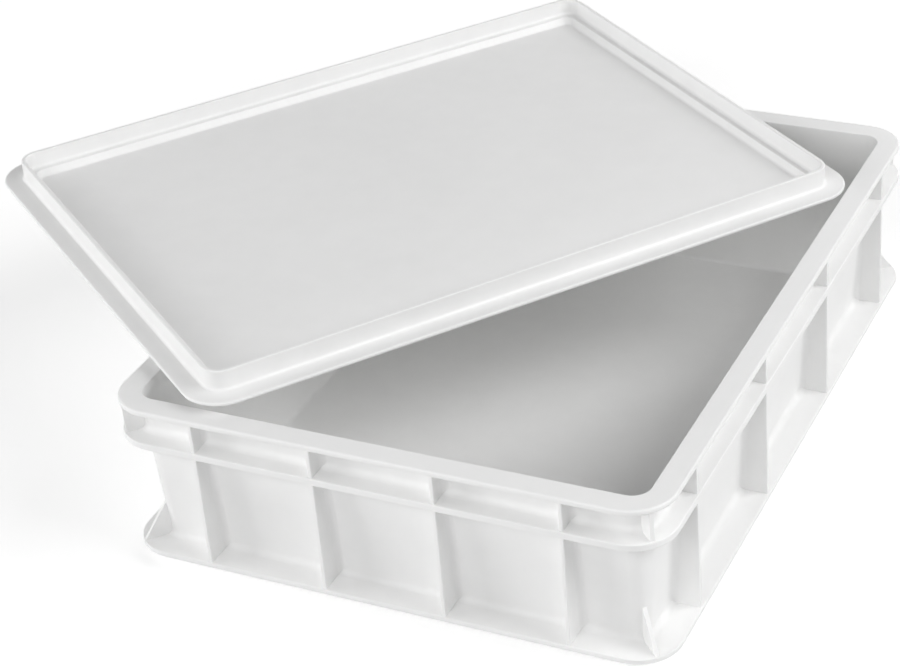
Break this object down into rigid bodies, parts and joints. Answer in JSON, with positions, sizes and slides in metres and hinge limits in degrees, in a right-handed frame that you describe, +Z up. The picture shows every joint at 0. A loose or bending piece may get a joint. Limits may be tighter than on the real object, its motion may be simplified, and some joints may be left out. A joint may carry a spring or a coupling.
{
  "type": "dough proofing container",
  "caption": "Shallow ribbed rectangular stacking box for proofing dough, with a flat raised-rim lid that lies askew across its open top.",
  "frame": {"origin": "centre of the flat face that the box stands on", "axes": "+X along the box's short side, +Y along its long side towards the back, +Z up through the open top"},
  "size_m": [0.4747, 0.4918, 0.124],
  "materials": {
    "container_plastic": "satin moulded food-grade plastic, opaque white",
    "lid_plastic": "satin moulded food-grade plastic, opaque white"
  },
  "bodies": {
    "container": {"container": "container_plastic"},
    "lid": {"lid": "lid_plastic"}
  },
  "joints": [
    {"name": "lid_lift", "type": "slide", "parent": "container", "child": "lid", "axis": [0, 0, 1], "range_m": [0, 0.15]}
  ]
}
